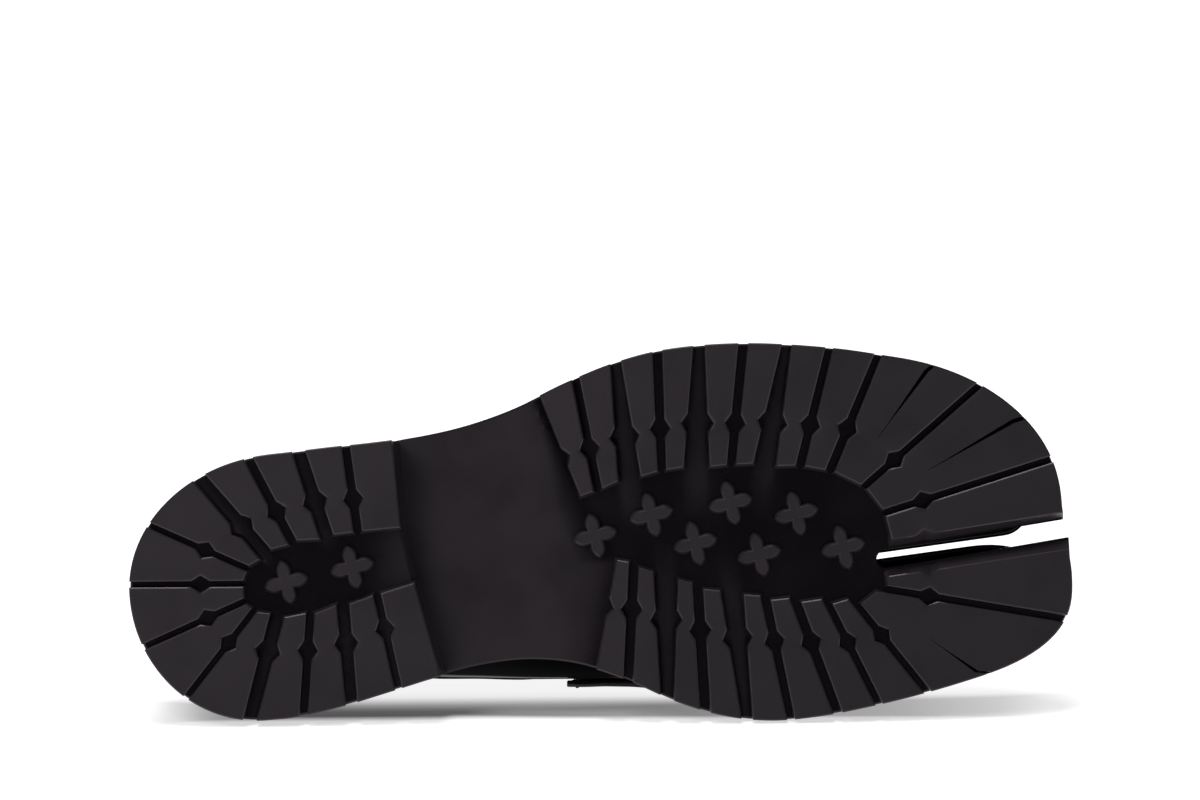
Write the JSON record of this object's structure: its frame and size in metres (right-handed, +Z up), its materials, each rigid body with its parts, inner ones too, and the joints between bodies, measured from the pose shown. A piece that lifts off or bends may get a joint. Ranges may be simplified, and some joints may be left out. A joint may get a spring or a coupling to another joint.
{
  "type": "tabi loafer",
  "caption": "Right-foot tabi loafer: split-toe leather upper with a saddle strap and tongue on a lugged rubber sole with a block heel, lying on its medial side.",
  "frame": {"origin": "middle of the bounding box on the floor that the shoe lies on", "axes": "+X from heel to toe, +Z up from the floor, -Y the way the tread faces; the shoe lies on its medial side"},
  "size_m": [0.2978, 0.1082, 0.1187],
  "materials": {
    "outsole": "satin moulded rubber",
    "heel_block": "satin moulded rubber",
    "midsole": "dressed black edge",
    "insole": "matte footbed leather",
    "upper": "polished smooth leather",
    "saddle_strap": "polished smooth leather",
    "tongue": "polished smooth leather"
  },
  "bodies": {
    "root": {"outsole": "outsole", "heel_block": "heel_block", "midsole": "midsole", "insole": "insole", "upper": "upper", "saddle_strap": "saddle_strap", "tongue": "tongue"}
  },
  "joints": []
}
